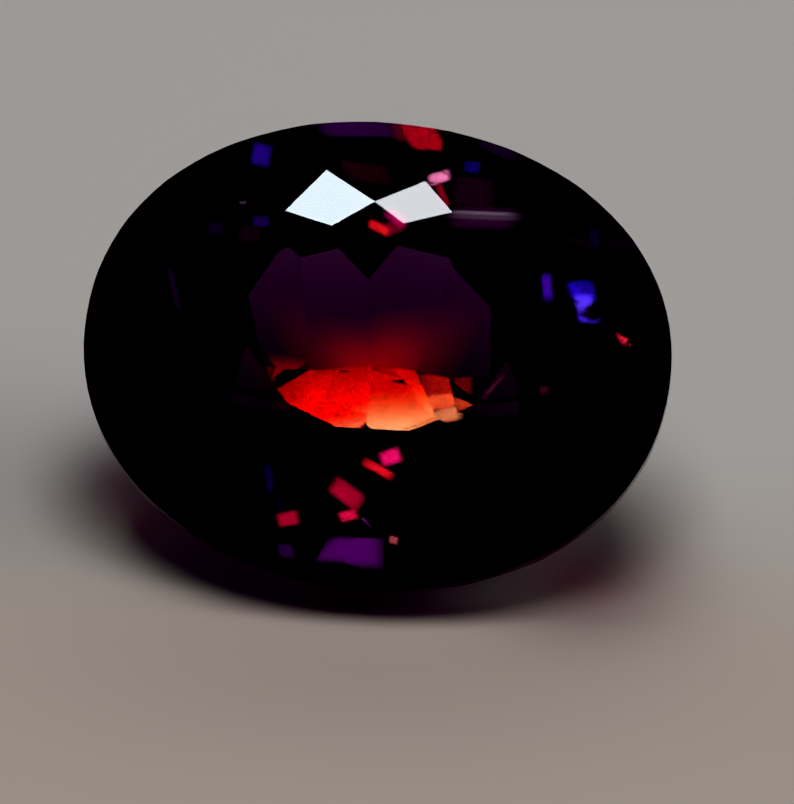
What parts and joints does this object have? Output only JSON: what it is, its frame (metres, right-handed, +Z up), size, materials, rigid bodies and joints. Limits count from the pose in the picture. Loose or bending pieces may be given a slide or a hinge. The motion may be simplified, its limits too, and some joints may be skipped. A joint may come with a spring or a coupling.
{
  "type": "faceted alexandrite gemstone",
  "caption": "Loose oval mixed-cut alexandrite, dark purple-red and clear, lying on a pavilion facet with its table tipped forward.",
  "frame": {"origin": "on the surface the stone lies on, under the middle of its box, inside the facet it rests on", "axes": "+X along the stone's long axis, -Y the side the table is tipped toward, +Z up"},
  "size_m": [0.009, 0.006, 0.0052],
  "materials": {
    "alexandrite": "polished clear crystal, index of refraction 1.75, with strong purple-red absorption"
  },
  "bodies": {
    "root": {"gemstone": "alexandrite"}
  },
  "joints": []
}
